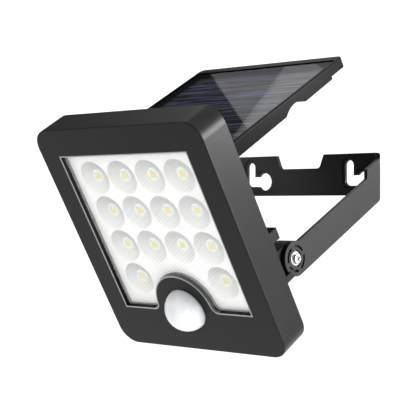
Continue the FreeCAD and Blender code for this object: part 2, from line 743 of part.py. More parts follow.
def key_shape(slot_x, grow, y0, y1):
    """A keyhole: a round entry, a level channel and an upright slot that ends in the seat."""
    entry_x = slot_x + KEY_ENTRY_X - KEY_SLOT_X
    half = KEY_W / 2 + grow
    seat_z = KEY_SLOT_TOP - KEY_W / 2
    pieces = [
        rod_y(KEY_ENTRY_R + grow, y0, y1, entry_x, KEY_Z),
        rod_y(half, y0, y1, slot_x, KEY_Z),
        rod_y(half, y0, y1, slot_x, seat_z),
        block(slot_x - half, slot_x + half, y0, y1, KEY_Z, seat_z),
        block(slot_x, entry_x, y0, y1, KEY_Z - half, KEY_Z + half),
    ]
    return fused(pieces)


def plate_notch():
    """The shallow trapezium cut from the middle of the plate's upper edge."""
    top = NOTCH_TOP_W / 2
    floor = NOTCH_FLOOR_W / 2
    slope = (top - floor) / (PLATE_HALF_H - NOTCH_FLOOR_Z)
    above = PLATE_HALF_H + 1
    outer = top + slope
    points = [vec(-outer, -ARM_T - 1, above), vec(-floor, -ARM_T - 1, NOTCH_FLOOR_Z),
              vec(floor, -ARM_T - 1, NOTCH_FLOOR_Z), vec(outer, -ARM_T - 1, above)]
    cut = polygon(points).extrude(vec(0, ARM_T + 2, 0))
    low = [e for e in cut.Edges if all(abs(v.Z - NOTCH_FLOOR_Z) < 0.01 for v in e.Vertexes)]
    low = [e for e in low if abs(e.Vertexes[0].X - e.Vertexes[1].X) < 0.01]
    return cut.makeFillet(NOTCH_ROUND, low)


def strap_corners():
    """The cuts that round the top of each bend and give the plate a straight lower edge."""
    bend_x = ARM_IN - BEND_R
    front = -ARM_T - BEND_R
    centre = PLATE_HALF_H - STRAP_ROUND
    cuts = []
    for sign in (1, -1):
        x0, x1 = sorted((sign * bend_x, sign * (ARM_OUT + 1)))
        corner = block(x0, x1, front, 1, centre, PLATE_HALF_H + 2)
        cuts.append(corner.cut(rod_y(STRAP_ROUND, front - 1, 2, sign * bend_x, centre)))
    low = -PLATE_HALF_H - FLARE_DROP
    far = FLARE_X + FLARE_RUN
    points = [vec(x, -ARM_T - 1, z) for x, z in
              ((-FLARE_X, -PLATE_HALF_H), (FLARE_X, -PLATE_HALF_H), (far, low), (-far, low))]
    return cuts + [polygon(points).extrude(vec(0, ARM_T + 2, 0))]


def ring_slots():
    """Curved slots sunk in the arm's disc around the screw, parted by narrow bridges."""
    floor = ARM_OUT - RING_SLOT_D
    ring = rod_x(RING_SLOT_R + RING_SLOT_W / 2, floor, ARM_OUT + 1)
    ring = ring.cut(rod_x(RING_SLOT_R - RING_SLOT_W / 2, floor - 1, ARM_OUT + 2))
    reach = RING_SLOT_R * 2
    half = RING_SLOT_R * math.tan(math.radians(RING_BRIDGE / 2))
    for index in range(RING_SLOTS):
        bridge = block(floor - 1, ARM_OUT + 2, 0, reach, -half, half)
        bridge.rotate(vec(0, 0, 0), vec(1, 0, 0), ARM_RISE + index * 360 / RING_SLOTS)
        ring = ring.cut(bridge)
    ring.translate(vec(0, PIVOT_Y, PIVOT_Z))
    return ring


def make_wall_bracket():
    depth = PIVOT_Y - DISC_R - 1
    low = PIVOT_Z - DISC_R - 1
    high = PLATE_HALF_H + 1
    outer = rounded_slab(-ARM_OUT, ARM_OUT, depth - 20, 0, BEND_R + ARM_T, low, high)
    inner = rounded_slab(-ARM_IN, ARM_IN, depth - 30, -ARM_T, BEND_R, low - 1, high + 1)
    strap = outer.cut(inner).common(block(-ARM_OUT, ARM_OUT, depth, 0, low, high))
    strap = strap.common(bracket_side(-ARM_OUT, ARM_OUT))
    tools = [plate_notch()] + strap_corners()
    for index in range(2):
        slot_x = KEY_SLOT_X + index * KEY_PITCH
        tools.append(key_shape(slot_x, 0, -ARM_T - 1, 1))
        tools.append(key_shape(slot_x, KEY_RIM, -ARM_T - 1, -ARM_T + KEY_RIM_D))
    tools += both_sides(rod_x(PIVOT_R + PIVOT_GAP, ARM_IN - 1, ARM_OUT + 1, PIVOT_Y, PIVOT_Z))
    tools += both_sides(rod_x(RECESS_R, ARM_OUT - RECESS_D, ARM_OUT + 1, PIVOT_Y, PIVOT_Z))
    tools += both_sides(ring_slots())
    for tool in tools:
        strap = strap.cut(tool)
    return strap


def panel_block(inset, z0, z1):
    half = PANEL_W / 2 - inset
    return rounded_slab(-half, half, PANEL_NEAR + inset, PANEL_FAR - inset, PANEL_CORNER, z0, z1)


def lug_notch():
    """The hollow in the panel's side that drops over the bracket lug when the panel is folded."""
    roof = DISC_R + SWING_GAP - HINGE_Y
    inner = LUG_IN - NOTCH_SIDE_GAP
    return rod_x(NOTCH_R, inner, PANEL_W / 2 + 1, HINGE_Z, roof - NOTCH_R)


def glass_pocket(inset, z0, z1):
    half = PANEL_W / 2 - GLASS_SIDE_RIM - inset
    near = PANEL_NEAR + GLASS_END_RIM + inset
    far = PANEL_FAR - GLASS_END_RIM - inset
    return rounded_slab(-half, half, near, far, 1.0, z0, z1)


def panel_screw_places():
    return [(sign * PANEL_SCREW_X, y) for sign in (1, -1) for y in PANEL_SCREW_Y]


def make_panel_frame():
    frame = panel_block(0, PANEL_PARTING, PANEL_TOP)
    top = [e for e in frame.Edges if all(abs(v.Z - PANEL_TOP) < 0.01 for v in e.Vertexes)]
    frame = frame.makeFillet(EDGE_ROUND, top)
    frame = frame.cut(glass_pocket(0, BACKING_LOW, PANEL_TOP + 1))
    half = PANEL_W / 2 - PANEL_SIDE_WALL
    cavity = rounded_slab(-half, half, PANEL_NEAR + PANEL_END_WALL, PANEL_LIP - PANEL_LIP_WALL, 2.0,
                          PANEL_PARTING - 1, BACKING_LOW + 1)
    frame = frame.cut(cavity)
    for notch in both_sides(lug_notch()):
        frame = frame.cut(notch)
    for x, y in panel_screw_places():
        frame = frame.cut(rod_z(SMALL_R, PANEL_PARTING - 1, BACKING_LOW - 0.4, x, y))
    return frame


def make_panel_glass():
    return glass_pocket(0.1, CELL_TOP, GLASS_TOP)


def cell_span():
    half = PANEL_W / 2 - GLASS_SIDE_RIM - CELL_MARGIN
    near = PANEL_NEAR + GLASS_END_RIM + CELL_MARGIN
    far = PANEL_FAR - GLASS_END_RIM - CELL_MARGIN
    return half, near, far


def cell_places():
    """The left and right edge of each strip of cells."""
    half, near, far = cell_span()
    pitch = 2 * half / CELL_COUNT
    return [(-half + i * pitch + CELL_GAP / 2, -half + (i + 1) * pitch - CELL_GAP / 2)
            for i in range(CELL_COUNT)]


def make_solar_cells():
    half, near, far = cell_span()
    return Part.makeCompound([block(x0, x1, near, far, BACKING_TOP, CELL_TOP - RIBBON_T)
                              for x0, x1 in cell_places()])


def make_cell_ribbons():
    """Flat tinned strips that join the cells along their far and near ends."""
    half, near, far = cell_span()
    low = CELL_TOP - RIBBON_T
    return Part.makeCompound([block(-half, half, near + 2, near + 2 + RIBBON_W, low, CELL_TOP),
                              block(-half, half, far - 2 - RIBBON_W, far - 2, low, CELL_TOP)])


def make_backing_sheet():
    return glass_pocket(0.1, BACKING_LOW, BACKING_TOP)


def cheek(x0):
    """One leg of the back cover, down to the hinge pin."""
    barrel = rod_x(KNUCKLE_R, x0, x0 + CHEEK_W)
    points = [vec(x0, -KNUCKLE_R, 0), vec(x0, KNUCKLE_R, 0), vec(x0, CHEEK_FOOT, PANEL_LOW_NEAR + 1),
              vec(x0, -KNUCKLE_R, PANEL_LOW_NEAR + 1)]
    leg = polygon(points).extrude(vec(CHEEK_W, 0, 0))
    return fused([barrel, leg]).cut(rod_x(HINGE_PIN_R, x0 - 1, x0 + CHEEK_W + 1))


def make_panel_back_cover():
    slab = panel_block(0, PANEL_LOW_NEAR - 1, PANEL_PARTING)
    slope = (PANEL_LOW_FAR - PANEL_LOW_NEAR) / (PANEL_LIP - PANEL_NEAR)
    near_y = PANEL_NEAR - 1
    near_z = PANEL_LOW_NEAR - slope
    side = [vec(-PANEL_W, near_y, near_z), vec(-PANEL_W, PANEL_LIP, PANEL_LOW_FAR),
            vec(-PANEL_W, PANEL_LIP, PANEL_PARTING), vec(-PANEL_W, near_y, PANEL_PARTING)]
    slab = slab.common(polygon(side).extrude(vec(2 * PANEL_W, 0, 0)))
    inner = EAR_X - EAR_W / 2 - CHEEK_GAP - CHEEK_W
    outer = EAR_X + EAR_W / 2 + CHEEK_GAP
    cover = fused([slab] + both_sides(cheek(inner)) + both_sides(cheek(outer)))
    tools = both_sides(lug_notch())
    for x, y in panel_screw_places():
        tools.append(rod_z(SMALL_HEAD_R + HOLE_GAP, 0, PANEL_PARTING - 1, x, y))
        tools.append(rod_z(SMALL_R + HOLE_GAP, 0, PANEL_PARTING + 1, x, y))
    tools.append(rod_z(GROMMET_R, 0, PANEL_PARTING + 1, 0, PANEL_GROMMET_Y))
    for tool in tools:
        cover = cover.cut(tool)
    return cover


def make_panel_screws():
    screws = []
    for x, y in panel_screw_places():
        head = rod_z(SMALL_HEAD_R, PANEL_PARTING - 2.0, PANEL_PARTING - 1, x, y)
        shank = rod_z(SMALL_R, PANEL_PARTING - 1, BACKING_LOW - 0.4, x, y)
        screws.append(fused([head, shank]))
    return Part.makeCompound(screws)


def make_panel_grommet():
    plug = rod_z(GROMMET_R, PANEL_LOW_NEAR, PANEL_PARTING, 0, PANEL_GROMMET_Y)
    lip = rod_z(GROMMET_R + GROMMET_LIP, PANEL_PARTING, PANEL_PARTING + GROMMET_LIP, 0, PANEL_GROMMET_Y)
    return fused([plug, lip]).cut(rod_z(GROMMET_BORE, 0, PANEL_TOP, 0, PANEL_GROMMET_Y))


def make_hinge_pins():
    half = EAR_W / 2 + CHEEK_GAP + CHEEK_W + PIN_OVERHANG
    pin = rod_x(HINGE_PIN_R, EAR_X - half, EAR_X + half)
    return Part.makeCompound(both_sides(pin))


def place_head(shape):
    shape.rotate(vec(0, 0, 0), vec(1, 0, 0), HEAD_TILT)
    shape.translate(vec(0, PIVOT_Y, PIVOT_Z))
    return shape


def place_panel(shape):
    tilt = math.radians(HEAD_TILT)
    hinge_y = PIVOT_Y + HINGE_Y * math.cos(tilt) - HINGE_Z * math.sin(tilt)
    hinge_z = PIVOT_Z + HINGE_Y * math.sin(tilt) + HINGE_Z * math.cos(tilt)
    shape.rotate(vec(0, 0, 0), vec(1, 0, 0), PANEL_TILT)
    shape.translate(vec(0, hinge_y, hinge_z))
    return shape


def place_bracket(shape):
    return shape


HEAD_NODES = {
    "front_housing": make_front_housing,
    "rear_cover": make_rear_cover,
    "housing_gasket": make_housing_gasket,
    "window_lens": make_window_lens,
    "lens_gasket": make_lens_gasket,
    "reflector": make_reflector,
    "led_board": make_led_board,
    "led_chips": make_led_chips,
    "sensor_dome": make_sensor_dome,
    "dome_seal": make_dome_seal,
    "sensor_holder": make_sensor_holder,
    "sensor_board": make_sensor_board,
    "motion_sensor": make_motion_sensor,
    "board_screws": make_board_screws,
    "cover_screws": make_cover_screws,
    "battery_cell": make_battery_cell,
    "battery_cradle": make_battery_cradle,
    "battery_tabs": make_battery_tabs,
    "control_board": make_control_board,
    "board_parts": make_board_parts,
    "mode_switch": make_mode_switch,
    "mode_button": make_mode_button,
    "head_grommet": make_head_grommet,
    "pivot_screws": make_pivot_screws,
    "pivot_washers": make_pivot_washers,
    "friction_washers": make_friction_washers,
    "pivot_nuts": make_pivot_nuts,
}

BRACKET_NODES = {
    "wall_bracket": make_wall_bracket,
}

PANEL_NODES = {
    "panel_frame": make_panel_frame,
    "panel_glass": make_panel_glass,
    "solar_cells": make_solar_cells,
    "cell_ribbons": make_cell_ribbons,
    "backing_sheet": make_backing_sheet,
    "panel_back_cover": make_panel_back_cover,
    "panel_screws": make_panel_screws,
    "panel_grommet": make_panel_grommet,
    "hinge_pins": make_hinge_pins,
}

os.makedirs("parts", exist_ok=True)
for nodes, place in ((BRACKET_NODES, place_bracket), (HEAD_NODES, place_head), (PANEL_NODES, place_panel)):
    for name, make in nodes.items():
        piece = place(make())
        piece.exportStep("parts/" + name + ".step")
        print(name, len(piece.Solids), piece.isValid(), round(piece.Volume, 1))
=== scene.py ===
import json
import math

import bmesh
import bpy
from mathutils import Matrix, Vector


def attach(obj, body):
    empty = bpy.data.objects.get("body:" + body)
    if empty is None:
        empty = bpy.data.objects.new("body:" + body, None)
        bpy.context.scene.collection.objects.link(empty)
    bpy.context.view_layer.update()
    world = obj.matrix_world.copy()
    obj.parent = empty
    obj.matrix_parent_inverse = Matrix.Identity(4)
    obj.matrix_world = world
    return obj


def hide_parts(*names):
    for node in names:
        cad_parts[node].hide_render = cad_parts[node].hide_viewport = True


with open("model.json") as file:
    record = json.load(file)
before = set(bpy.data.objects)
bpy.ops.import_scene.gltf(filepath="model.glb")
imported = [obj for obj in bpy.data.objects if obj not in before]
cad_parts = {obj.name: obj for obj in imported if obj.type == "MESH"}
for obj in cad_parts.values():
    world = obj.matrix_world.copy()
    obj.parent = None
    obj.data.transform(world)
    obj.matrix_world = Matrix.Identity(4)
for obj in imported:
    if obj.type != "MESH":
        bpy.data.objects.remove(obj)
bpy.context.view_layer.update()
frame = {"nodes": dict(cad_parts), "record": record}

scene = bpy.context.scene
nodes = frame["nodes"]
joints = {joint["name"]: joint for joint in frame["record"]["behaviour"]["joints"]}
MM = 0.001

# Camera: level with the bracket, off to the right of the lamp's face, with a long lens.
CAMERA_PLACE = Vector((0.5151, -0.6505, -0.0198))
CAMERA_TURN = 42.83
CAMERA_RISE = 0.17
camera_data = bpy.data.cameras.new("camera")
camera_data.sensor_width = 36.0
camera_data.lens = 104.3
camera = bpy.data.objects.new("camera", camera_data)
scene.collection.objects.link(camera)
camera.location = CAMERA_PLACE
camera.rotation_euler = (math.radians(90 - CAMERA_RISE), 0, math.radians(CAMERA_TURN))
scene.camera = camera


# Studio: a lamp stands over a wide bowl of lit white paper under a dim ceiling.
# The black plastic takes its soft grey from the bowl, and its highlights from five soft lights.
BOWL_DROP = 0.42
BOWL_FLAT = 2.2
BOWL_BEND = 0.9
BOWL_RIM = 0.95
BOWL_SIDES = 64
PAPER_GLOW = 0.72
CEILING_GLOW = 0.08


def linear(code):
    """An sRGB hex colour as linear RGBA."""
    channels = [int(code[i:i + 2], 16) / 255 for i in (1, 3, 5)]
    return [c / 12.92 if c <= 0.04045 else ((c + 0.055) / 1.055) ** 2.4 for c in channels] + [1.0]


def node(tree, kind, settings=None, **inputs):
    """Adds one shader node. Inputs are values, or output sockets to link from."""
    new = tree.nodes.new(kind)
    for name, value in (settings or {}).items():
        setattr(new, name, value)
    for name, value in inputs.items():
        key = int(name[1:]) if name[0] == "i" and name[1:].isdigit() else name.replace("_", " ")
        if isinstance(value, bpy.types.NodeSocket):
            tree.links.new(value, new.inputs[key])
        else:
            new.inputs[key].default_value = value
    return new


def material(name, **settings):
    """A material whose Principled shader has these settings; returns it, its tree and its shader."""
    made = bpy.data.materials.new(name)
    made.use_nodes = True
    tree = made.node_tree
    shader = next(n for n in tree.nodes if n.type == "BSDF_PRINCIPLED")
    for key, value in settings.items():
        shader.inputs[key.replace("_", " ")].default_value = value
    return made, tree, shader


def add_mesh(name, bm, body, replaced=(), finish=None, smooth=30):
    """Turns mesh data into a piece that rides on a body."""
    mesh = bpy.data.meshes.new(name)
    bmesh.ops.recalc_face_normals(bm, faces=bm.faces)
    bm.to_mesh(mesh)
    bm.free()
    piece = bpy.data.objects.new(name, mesh)
    scene.collection.objects.link(piece)
    if finish is not None:
        mesh.materials.append(finish)
    for face in mesh.polygons:
        face.use_smooth = True
    mesh.set_sharp_from_angle(angle=math.radians(smooth))
    if body:
        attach(piece, body)
        if replaced:
            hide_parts(*replaced)
    return piece


bm = bmesh.new()
profile = [(BOWL_FLAT * part / 4, -BOWL_DROP) for part in range(1, 5)]
for step in range(1, 9):
    angle = math.radians(80 * step / 8)
    profile.append((BOWL_FLAT + BOWL_BEND * math.sin(angle), BOWL_BEND * (1 - math.cos(angle)) - BOWL_DROP))
profile.append((profile[-1][0] + 0.05, BOWL_RIM))
centre = bm.verts.new((0, 0, -BOWL_DROP))
rings = []
for radius, height in profile:
    ring = []
    for side in range(BOWL_SIDES):
        angle = 2 * math.pi * side / BOWL_SIDES
        ring.append(bm.verts.new((radius * math.cos(angle), radius * math.sin(angle), height)))
    rings.append(ring)
for side in range(BOWL_SIDES):
    after = (side + 1) % BOWL_SIDES
    bm.faces.new((centre, rings[0][side], rings[0][after]))
    for inner, outer in zip(rings, rings[1:]):
        bm.faces.new((inner[side], outer[side], outer[after], inner[after]))
paper, tree, shader = material("white_paper_lit_from_behind", Roughness=0.9, Emission_Strength=PAPER_GLOW)
shader.inputs["Base Color"].default_value = linear("#c8c8c8")
shader.inputs["Emission Color"].default_value = linear("#ffffff")
floor = add_mesh("studio_floor", bm, None, finish=paper)

world = bpy.data.worlds.new("studio")
scene.world = world
world.use_nodes = True
world.node_tree.nodes["Background"].inputs["Color"].default_value = linear("#ffffff")
world.node_tree.nodes["Background"].inputs["Strength"].default_value = CEILING_GLOW
scene.view_settings.view_transform = "Standard"


def soft_light(name, place, aim, width, height, power):
    data = bpy.data.lights.new(name, "AREA")
    data.shape = "RECTANGLE"
    data.size = width
    data.size_y = height
    data.energy = power
    light = bpy.data.objects.new(name, data)
    scene.collection.objects.link(light)
    light.location = place
    light.rotation_euler = (Vector(aim) - Vector(place)).to_track_quat("-Z", "Y").to_euler()
    return light


soft_light("front_light", (-0.5, -1.3, 0.5), (0, -0.1, -0.02), 0.9, 0.9, 11)
soft_light("side_light", (1.2, 0.15, 0.0), (0.07, -0.1, -0.02), 0.5, 0.5, 62)
soft_light("edge_light", (0.36, 0.16, 0.16), (0.07, -0.14, 0.02), 0.16, 0.16, 4.2)
soft_light("top_light", (0.35, 0.15, 0.9), (0.05, -0.14, 0.04), 0.9, 0.9, 3.6)
soft_light("crown_light", (-0.5, 0.05, 0.95), (0, -0.14, 0.03), 0.8, 0.8, 2)

# The card over the panel: its straight edge shows as a line across the cover glass.
card_edge = Vector((0.3721, -0.4829, 0.7927))
card_away = Vector((-0.6645, 0.4576, 0.5908))
card = soft_light("glass_card", (-0.3659, 0.4318, 0.7557), (0, 0, 0), 0.5, 0.56, 0.84)
card.rotation_euler = Matrix((card_edge.cross(card_away), card_edge, card_away)).transposed().to_euler()

# The lamp head's own frame: origin on the tilt pivot, X across, Y to its back, Z to its top.
pivot = Vector(joints["head_tilt"]["pos_m"])
head_back = -Vector(joints["button_press"]["axis"])
head_up = Vector((1, 0, 0)).cross(head_back)
HEAD = Matrix.Translation(pivot) @ Matrix((Vector((1, 0, 0)), head_back, head_up)).transposed().to_4x4()
HEAD_TILT = math.atan2(head_back.z, head_back.y)


def dress(names, finish, edge=0.0):
    """Gives a finish to CAD nodes whose shape stays as it is, and softens their edges."""
    for name in names:
        for place in nodes[name].material_slots:
            place.material = finish
        if edge:
            nodes[name].modifiers.new("joined", "WELD").merge_threshold = 0.00001
            soft = nodes[name].modifiers.new("soft_edges", "BEVEL")
            soft.width = edge
            soft.segments = 2
            soft.angle_limit = math.radians(40)
            soft.harden_normals = True


# Housings: front shell, rear cover, panel frame and panel back, moulded in black ABS.
# The mould was spark-eroded, which leaves a fine matt grain that scatters light and hides fingerprints.
GRAIN = 0.35 * MM
MOTTLE = 9.0 * MM


def grained_plastic(name, colour, dark, roughness, relief_depth, **settings):
    made, tree, shader = material(name, **settings)
    place = node(tree, "ShaderNodeTexCoord")
    grain = node(tree, "ShaderNodeTexNoise", None, Vector=place.outputs["Object"],
                 Scale=1 / GRAIN, Detail=3.0, Roughness=0.6)
    mottle = node(tree, "ShaderNodeTexNoise", None, Vector=place.outputs["Object"],
                  Scale=1 / MOTTLE, Detail=4.0)
    tone = node(tree, "ShaderNodeMapRange", None, Value=mottle.outputs["Fac"], From_Min=0.35, From_Max=0.65)
    mix = node(tree, "ShaderNodeMix", {"data_type": "RGBA"}, Factor=tone.outputs["Result"],
               i6=linear(dark), i7=linear(colour))
    gloss = node(tree, "ShaderNodeMapRange", None, Value=grain.outputs["Fac"],
                 To_Min=roughness - 0.05, To_Max=roughness + 0.05)
    relief = node(tree, "ShaderNodeBump", None, Height=grain.outputs["Fac"],
                  Strength=0.2, Distance=relief_depth)
    tree.links.new(mix.outputs[2], shader.inputs["Base Color"])
    tree.links.new(gloss.outputs["Result"], shader.inputs["Roughness"])
    tree.links.new(relief.outputs["Normal"], shader.inputs["Normal"])
    return made


black_abs = grained_plastic("black_ABS_spark_eroded", "#0c0d0c", "#0a0b0a", 0.36, 0.03 * MM,
                            IOR=1.5, Specular_IOR_Level=0.115)
# Painted shade: the panel frame and back take a darker copy of the same black ABS, with less sheen.
panel_abs_painted_shade = grained_plastic("black_ABS_panel_frame_painted_shade", "#030303", "#020202", 0.3, 0.03 * MM,
                            IOR=1.5, Specular_IOR_Level=0.03)
dress(["front_housing", "rear_cover"], black_abs)
dress(["panel_frame", "panel_back_cover"], panel_abs_painted_shade)
dress(["sensor_holder", "battery_cradle"], black_abs)


# Window edge: the bright bead that runs round the opening of the front shell.
# It is part of the ABS moulding, with a polished crest that has no grain; its light grey colour is a painted
# highlight that shows as a thin line.
WINDOW_HALF = 53.35 * MM
WINDOW_LOW = -16.2 * MM
WINDOW_HIGH = 93.5 * MM
ARCH_CENTRE = -13.5 * MM
ARCH_R = 22.6 * MM
ARCH_FOOT = 5.0 * MM
SHELL_FRONT = -38.2 * MM
BEAD_W = 0.75 * MM
BEAD_PROUD = 0.14 * MM


def window_path(grow, arch):
    """Points round the opening, in the head's X and Z: corners, left foot, arch, right foot."""
    half = WINDOW_HALF + grow
    low = WINDOW_LOW - grow
    high = WINDOW_HIGH + grow
    foot = ARCH_FOOT + grow
    lift = low + foot - ARCH_CENTRE
    reach = math.sqrt((arch + foot) ** 2 - lift ** 2)
    turn = math.atan2(-lift, -reach)
    points = [(half, low), (half, high), (-half, high), (-half, low)]
    left = []
    for step in range(9):
        angle = -math.pi / 2 + (turn + math.pi / 2) * step / 8
        left.append((-reach - foot * math.cos(angle), low + foot + foot * math.sin(angle)))
    start = math.atan2(lift, reach)
    crown = []
    for step in range(1, 40):
        angle = math.pi - start - (math.pi - 2 * start) * step / 40
        crown.append((arch * math.cos(angle), ARCH_CENTRE + arch * math.sin(angle)))
    return points + left + crown + [(-x, z) for x, z in reversed(left)]


bm = bmesh.new()
section = [(0.0, 0.3 * MM), (0.0, -0.05 * MM), (0.3, -BEAD_PROUD), (0.7, -BEAD_PROUD), (1.0, -0.05 * MM),
           (1.0, 0.3 * MM)]
loops = []
for across, proud in section:
    grow = across * BEAD_W - 0.1 * MM
    loops.append([bm.verts.new(HEAD @ Vector((x, SHELL_FRONT + proud, z)))
                  for x, z in window_path(grow, ARCH_R - grow)])
count = len(loops[0])
for first, second in zip(loops, loops[1:] + loops[:1]):
    for index in range(count):
        after = (index + 1) % count
        bm.faces.new((first[index], second[index], second[after], first[after]))
bead_finish, tree, shader = material("black_ABS_crest_painted_highlight", IOR=1.5, Coat_Weight=0.6,
                                     Coat_Roughness=0.15)
place = node(tree, "ShaderNodeTexCoord")
streak = node(tree, "ShaderNodeTexNoise", None, Vector=place.outputs["Object"],
              Scale=1 / (4 * MM), Detail=3.0)
# Painted highlight: the crest is coloured light grey, streaked at random, though it is black ABS.
tone = node(tree, "ShaderNodeMix", {"data_type": "RGBA"}, Factor=streak.outputs["Fac"],
            i6=linear("#5a5b5b"), i7=linear("#808181"))
gloss = node(tree, "ShaderNodeMapRange", None, Value=streak.outputs["Fac"], To_Min=0.2, To_Max=0.4)
tree.links.new(tone.outputs[2], shader.inputs["Base Color"])
tree.links.new(gloss.outputs["Result"], shader.inputs["Roughness"])
add_mesh("window_edge_bead", bm, "head", (), bead_finish, 60)


# Arch rim: the bevelled wall round the motion sensor, polished in the mould like the bead above it.
# It is black ABS painted a mid grey as a painted highlight, and painted darker in the hollow next to the
# lens as painted shade.
RIM_FRONT = (0.0 * MM, 22.65 * MM, -38.15 * MM)
RIM_BACK = (-0.78 * MM, 23.2 * MM, -35.85 * MM)
RIM_STEPS = 4
bm = bmesh.new()
rim_painted_shade = bm.verts.layers.float.new("rim_painted_shade")
previous = None
for step in range(RIM_STEPS + 1):
    part = step / RIM_STEPS
    grow, arch, depth = [a + (b - a) * part for a, b in zip(RIM_FRONT, RIM_BACK)]
    row = []
    for x, z in window_path(grow, arch)[4:]:
        vert = bm.verts.new(HEAD @ Vector((x, depth, z)))
        vert[rim_painted_shade] = part
        row.append(vert)
    if previous:
        for index in range(len(row) - 1):
            bm.faces.new((previous[index], row[index], row[index + 1], previous[index + 1]))
    previous = row
rim_finish, tree, shader = material("black_ABS_bevel_painted_highlight_and_shade", IOR=1.5)
place = node(tree, "ShaderNodeTexCoord")
streak = node(tree, "ShaderNodeTexNoise", None, Vector=place.outputs["Object"],
              Scale=1 / (5 * MM), Detail=3.0)
# Painted shade: the colour gets darker from the front edge towards the lens.
hollow_painted_shade = node(tree, "ShaderNodeAttribute", {"attribute_name": "rim_painted_shade"})
tone = node(tree, "ShaderNodeMix", {"data_type": "RGBA"}, Factor=hollow_painted_shade.outputs["Fac"],
            i6=linear("#4c4d4d"), i7=linear("#303131"))
gloss = node(tree, "ShaderNodeMapRange", None, Value=streak.outputs["Fac"], To_Min=0.25, To_Max=0.4)
tree.links.new(tone.outputs[2], shader.inputs["Base Color"])
tree.links.new(gloss.outputs["Result"], shader.inputs["Roughness"])
add_mesh("arch_rim", bm, "head", (), rim_finish, 60)


# Window lens: clear polycarbonate with rows of small pyramids moulded in its face.
# Their facets scatter the light, so the window looks white, and the cups show through it only faintly.
# Real pyramids are taken to be 0.8 mm wide; these are drawn at 1.3 mm so that they show.
PYRAMID = 1.3 * MM
PYRAMID_TURN = 57
RIDGE = 1.9 * MM
lens_finish, tree, shader = material("clear_polycarbonate_pyramid_lens", IOR=1.58, Roughness=0.3)
place = node(tree, "ShaderNodeTexCoord")
turned = node(tree, "ShaderNodeMapping", None, Vector=place.outputs["Object"],
              Rotation=(-math.pi / 2 - HEAD_TILT, 0, math.radians(PYRAMID_TURN)))
pyramids = node(tree, "ShaderNodeTexVoronoi",
                {"voronoi_dimensions": "2D", "feature": "F1", "distance": "CHEBYCHEV"},
                Vector=turned.outputs["Vector"], Scale=1 / PYRAMID, Randomness=0.0)
ridges = node(tree, "ShaderNodeTexWave", {"wave_type": "BANDS", "bands_direction": "X"},
              Vector=turned.outputs["Vector"], Scale=math.pi / (10 * RIDGE))
facet = node(tree, "ShaderNodeMath", {"operation": "MULTIPLY_ADD"}, i0=ridges.outputs["Fac"], i1=0.07,
             i2=pyramids.outputs["Distance"])
veil = node(tree, "ShaderNodeMapRange", None, Value=facet.outputs["Value"],
            From_Min=0.2, From_Max=0.6, To_Min=0.14, To_Max=0.44)
# Painted shade: the grooves between the pyramids are coloured darker grey than their tops.
shade = node(tree, "ShaderNodeMapRange", None, Value=facet.outputs["Value"],
             From_Min=0.36, From_Max=0.6, To_Min=1.0, To_Max=0.0)
facet_tint_painted_shade = node(tree, "ShaderNodeMix", {"data_type": "RGBA"}, Factor=shade.outputs["Result"],
            i6=linear("#8c8e8d"), i7=linear("#dadbda"))
relief = node(tree, "ShaderNodeBump", None, Height=pyramids.outputs["Distance"], Strength=0.35,
              Distance=0.2 * MM)
tree.links.new(facet_tint_painted_shade.outputs[2], shader.inputs["Base Color"])
tree.links.new(veil.outputs["Result"], shader.inputs["Alpha"])
tree.links.new(relief.outputs["Normal"], shader.inputs["Normal"])
dress(["window_lens"], lens_finish)


# Reflector: a white ABS sheet behind the lens, with one shallow cup for each LED.
# The cups are metallised inside. Their walls are painted from white to grey towards the upper side, as
# painted shade.
LED_X = (-35.7, -11.9, 11.9, 35.7)
LED_Z = (76.1, 51.75, 27.4, 3.05)
CUP_RIM_Y = -33.46 * MM
CUP_SEAT_Y = -30.5 * MM
CUP_RIM_R = 11.3 * MM
CUP_SEAT_R = 4.3 * MM
CUP_RINGS = 7
CUP_SIDES = 40
led_places = [(x * MM, z * MM) for z in LED_Z for x in LED_X if z > 10 or abs(x) > 20]


def satin_white(name, colour, speck, roughness, scale):
    made, tree, shader = material(name, IOR=1.5)
    place = node(tree, "ShaderNodeTexCoord")
    cloud = node(tree, "ShaderNodeTexNoise", None, Vector=place.outputs["Object"],
                 Scale=1 / scale, Detail=3.0)
    mix = node(tree, "ShaderNodeMix", {"data_type": "RGBA"}, Factor=cloud.outputs["Fac"],
               i6=linear(speck), i7=linear(colour))
    gloss = node(tree, "ShaderNodeMapRange", None, Value=cloud.outputs["Fac"],
                 To_Min=roughness - 0.08, To_Max=roughness + 0.08)
    tree.links.new(mix.outputs[2], shader.inputs["Base Color"])
    tree.links.new(gloss.outputs["Result"], shader.inputs["Roughness"])
    return made


dress(["reflector"], satin_white("white_ABS_satin_moulded", "#fbfbf9", "#f4f5f3", 0.4, 6 * MM))
bm = bmesh.new()
cup_wall_painted_shade = bm.verts.layers.float.new("cup_wall_painted_shade")
for cup_x, cup_z in led_places:
    rings = []
    for ring in range(CUP_RINGS):
        part = ring / (CUP_RINGS - 1)
        radius = CUP_RIM_R + (CUP_SEAT_R - CUP_RIM_R) * part
        depth = CUP_RIM_Y + (CUP_SEAT_Y - CUP_RIM_Y) * part
        row = []
        for side in range(CUP_SIDES):
            angle = 2 * math.pi * side / CUP_SIDES
            across = radius * math.cos(angle)
            rise = radius * math.sin(angle)
            vert = bm.verts.new(HEAD @ Vector((cup_x + across, depth, cup_z + rise)))
            # Painted shade: each cup wall is set greyer towards its upper side.
            reach = (rise * 0.75 + across * 0.3) / CUP_RIM_R
            vert[cup_wall_painted_shade] = min(1.0, max(0.0, reach * 0.7 + 0.62))
            row.append(vert)
        rings.append(row)
    for first, second in zip(rings, rings[1:]):
        for side in range(CUP_SIDES):
            after = (side + 1) % CUP_SIDES
            bm.faces.new((first[side], second[side], second[after], first[after]))
